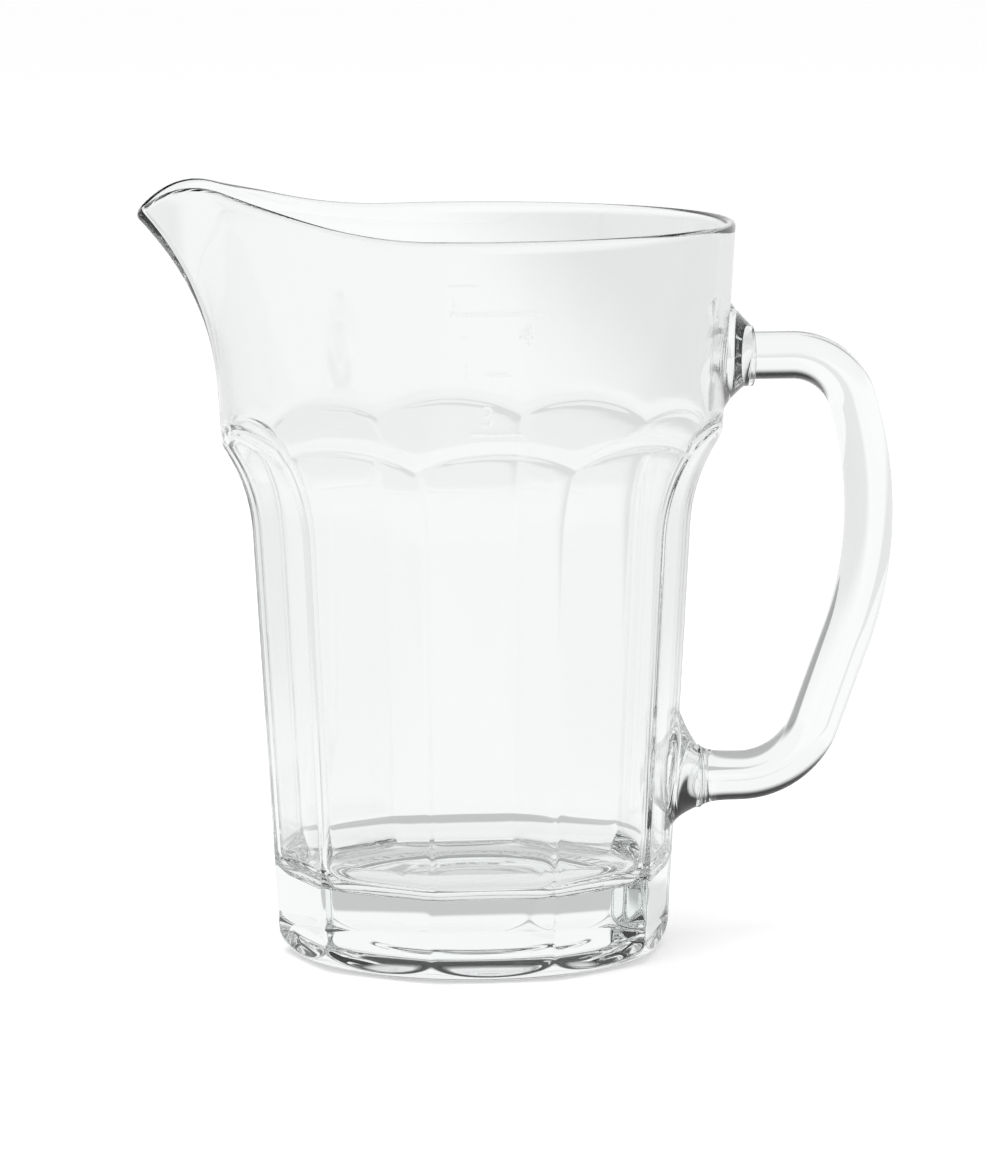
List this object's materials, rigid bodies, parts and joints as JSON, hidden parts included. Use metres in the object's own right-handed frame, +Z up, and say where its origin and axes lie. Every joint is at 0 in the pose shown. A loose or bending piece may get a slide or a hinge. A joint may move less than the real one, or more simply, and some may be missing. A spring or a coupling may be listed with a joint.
{
  "type": "beer_pitcher",
  "caption": "Clear pressed glass beer pitcher with flat panels below a round upper wall, a beak spout, a round bar handle between two bosses, and printed measure lines",
  "frame": {"origin": "under the middle of the whole pitcher, from spout tip to handle back, at table level; the round body's axis is at x = -13.9 mm, y = 0", "axes": "+Z up; +X towards the handle, which lies in the XZ plane; the spout points along -X; the measure lines are centred on the -Y side"},
  "size_m": [0.2228, 0.155, 0.2277],
  "materials": {
    "clear_glass": "polished clear soda lime glass",
    "handle_glass": "polished clear soda lime glass rod",
    "mark_print": "pale translucent fired print"
  },
  "bodies": {
    "root": {"body": "clear_glass", "handle": "handle_glass", "fill_marks": "mark_print"}
  },
  "joints": []
}
